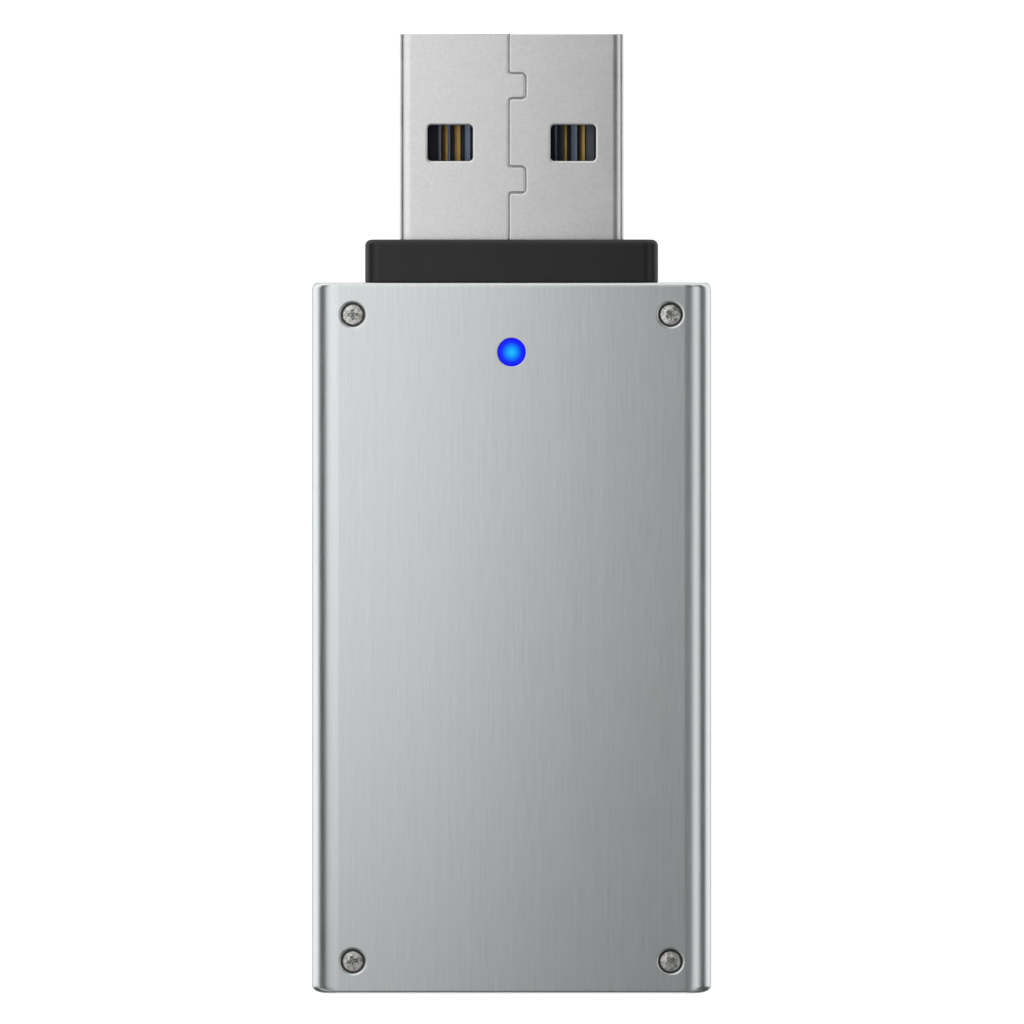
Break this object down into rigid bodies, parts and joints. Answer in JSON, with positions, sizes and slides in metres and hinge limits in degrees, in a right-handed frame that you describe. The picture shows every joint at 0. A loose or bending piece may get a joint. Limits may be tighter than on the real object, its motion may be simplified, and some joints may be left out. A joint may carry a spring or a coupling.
{
  "type": "usb flash drive",
  "caption": "Pocket flash drive: brushed metal clamshell case held by corner screws, black collar, type-A plug with latch windows, round blue activity light.",
  "frame": {"origin": "on the surface that the drive lies on, under the middle of its whole length and width", "axes": "+Z out of the face with the activity light, +Y out of the plug's mouth, +X to the right seen from above with the plug away from the viewer"},
  "size_m": [0.0214, 0.0514, 0.0084],
  "materials": {
    "case_metal": "brushed lengthwise, clear anodised",
    "screw_metal": "bright nickel plate",
    "collar_plastic": "satin moulded",
    "plug_metal": "satin nickel plate, fine grain",
    "insulator_plastic": "moulded, dark blue",
    "contact_metal": "gold plate on copper alloy",
    "light_window": "clear blue, lit",
    "board": "green solder mask over glass laminate",
    "chip_package": "black moulding compound",
    "crystal_can": "plated can",
    "ferrite": "pressed ferrite",
    "capacitor_body": "ceramic with tinned ends",
    "resistor_body": "glazed, tinned ends",
    "light_chip_body": "white moulding",
    "thermal_pad": "soft silicone",
    "film": "amber polyimide film"
  },
  "bodies": {
    "drive": {"front_cover": "case_metal", "back_shell": "case_metal", "screw_1": "screw_metal", "screw_2": "screw_metal", "screw_3": "screw_metal", "screw_4": "screw_metal", "light_pipe": "light_window", "collar": "collar_plastic", "plug_shell": "plug_metal", "plug_insulator": "insulator_plastic", "plug_spacer": "insulator_plastic", "contact_vbus": "contact_metal", "contact_data_minus": "contact_metal", "contact_data_plus": "contact_metal", "contact_ground": "contact_metal", "spring_tail_1": "contact_metal", "spring_tail_2": "contact_metal", "spring_tail_3": "contact_metal", "spring_tail_4": "contact_metal", "spring_tail_5": "contact_metal", "circuit_board": "board", "controller_chip": "chip_package", "flash_chip_top": "chip_package", "flash_chip_bottom": "chip_package", "clock_crystal": "crystal_can", "power_inductor": "ferrite", "voltage_regulator": "chip_package", "surge_protector": "chip_package", "light_chip": "light_chip_body", "capacitor_1": "capacitor_body", "capacitor_2": "capacitor_body", "capacitor_3": "capacitor_body", "capacitor_4": "capacitor_body", "capacitor_5": "capacitor_body", "capacitor_6": "capacitor_body", "resistor_1": "resistor_body", "resistor_2": "resistor_body", "resistor_3": "resistor_body", "resistor_4": "resistor_body", "resistor_5": "resistor_body", "thermal_pad": "thermal_pad", "insulating_film": "film"},
    "spring_1": {"spring_contact_1": "contact_metal"},
    "spring_2": {"spring_contact_2": "contact_metal"},
    "spring_3": {"spring_contact_3": "contact_metal"},
    "spring_4": {"spring_contact_4": "contact_metal"},
    "spring_5": {"spring_contact_5": "contact_metal"}
  },
  "joints": [
    {"name": "spring_1_flex", "type": "hinge", "parent": "drive", "child": "spring_1", "pos_m": [-0.004, 0.01429, 0.0037], "axis": [-1, 0, 0], "range_deg": [0, 10], "stiffness_Nm_per_rad": 0.009},
    {"name": "spring_2_flex", "type": "hinge", "parent": "drive", "child": "spring_2", "pos_m": [-0.002, 0.01429, 0.0037], "axis": [-1, 0, 0], "range_deg": [0, 10], "stiffness_Nm_per_rad": 0.009},
    {"name": "spring_3_flex", "type": "hinge", "parent": "drive", "child": "spring_3", "pos_m": [0, 0.01429, 0.0037], "axis": [-1, 0, 0], "range_deg": [0, 10], "stiffness_Nm_per_rad": 0.009},
    {"name": "spring_4_flex", "type": "hinge", "parent": "drive", "child": "spring_4", "pos_m": [0.002, 0.01429, 0.0037], "axis": [-1, 0, 0], "range_deg": [0, 10], "stiffness_Nm_per_rad": 0.009},
    {"name": "spring_5_flex", "type": "hinge", "parent": "drive", "child": "spring_5", "pos_m": [0.004, 0.01429, 0.0037], "axis": [-1, 0, 0], "range_deg": [0, 10], "stiffness_Nm_per_rad": 0.009}
  ]
}
